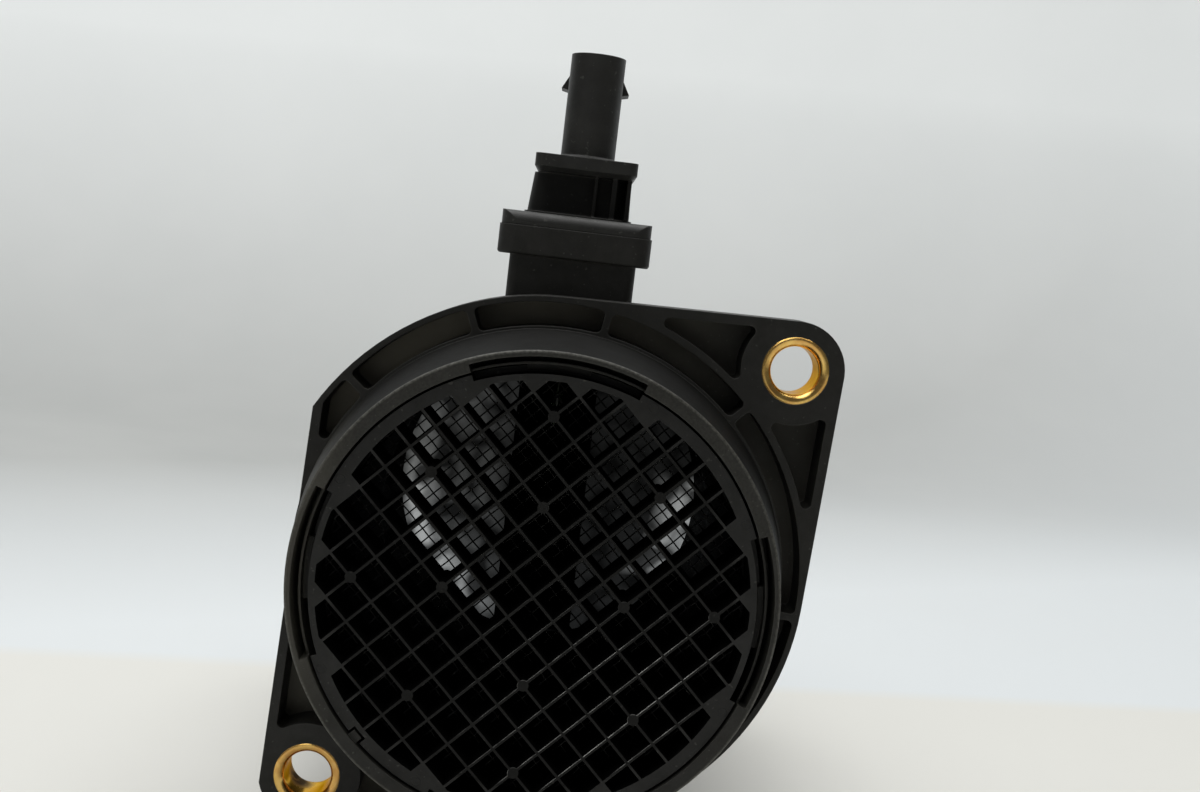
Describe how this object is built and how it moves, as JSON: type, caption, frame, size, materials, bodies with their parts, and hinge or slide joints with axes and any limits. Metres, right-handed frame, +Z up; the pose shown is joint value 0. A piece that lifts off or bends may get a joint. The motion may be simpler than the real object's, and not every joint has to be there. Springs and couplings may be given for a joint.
{
  "type": "mass airflow sensor",
  "caption": "Tubular engine intake airflow sensor with square-cell straightener, wire screen, two-bolt flange and plug-in electrical connector.",
  "frame": {"origin": "on the duct's axis in the flange's mounting face, where the locating collar ends", "axes": "+Y along the air flow from the inlet grille to the outlet, +Z up along the electrical connector, +X to the right seen from the inlet"},
  "size_m": [0.0896, 0.1001, 0.1364],
  "materials": {
    "housing_plastic": "satin, glass-filled",
    "grille_plastic": "satin",
    "sensor_plastic": "satin, glass-filled",
    "screen_wire": "bright drawn wire",
    "bush_brass": "turned, slightly tarnished",
    "seal_rubber": "matt",
    "plate_metal": "rolled",
    "board_ceramic": "matt",
    "chip_epoxy": "matt",
    "chip_silicon": "polished",
    "capacitor_ceramic": "matt",
    "terminal_tin": "tin plated",
    "screw_zinc": "zinc plated",
    "bead_glass": "clear"
  },
  "bodies": {
    "root": {"housing": "housing_plastic", "inlet_grille": "grille_plastic", "inlet_mesh": "screen_wire", "mesh_ring": "grille_plastic", "upper_bush": "bush_brass", "lower_bush": "bush_brass", "sensor_body": "sensor_plastic", "sensor_seal": "seal_rubber", "electronics_cover": "sensor_plastic", "bypass_cover": "sensor_plastic", "base_plate": "plate_metal", "circuit_board": "board_ceramic", "signal_chip": "chip_epoxy", "chip_carrier": "chip_epoxy", "sensor_chip": "chip_silicon", "temperature_bead": "bead_glass", "front_screw": "screw_zinc", "rear_screw": "screw_zinc", "terminal_1": "terminal_tin", "terminal_2": "terminal_tin", "terminal_3": "terminal_tin", "terminal_4": "terminal_tin", "terminal_5": "terminal_tin", "capacitor_1": "capacitor_ceramic", "capacitor_2": "capacitor_ceramic", "capacitor_3": "capacitor_ceramic"}
  },
  "joints": []
}
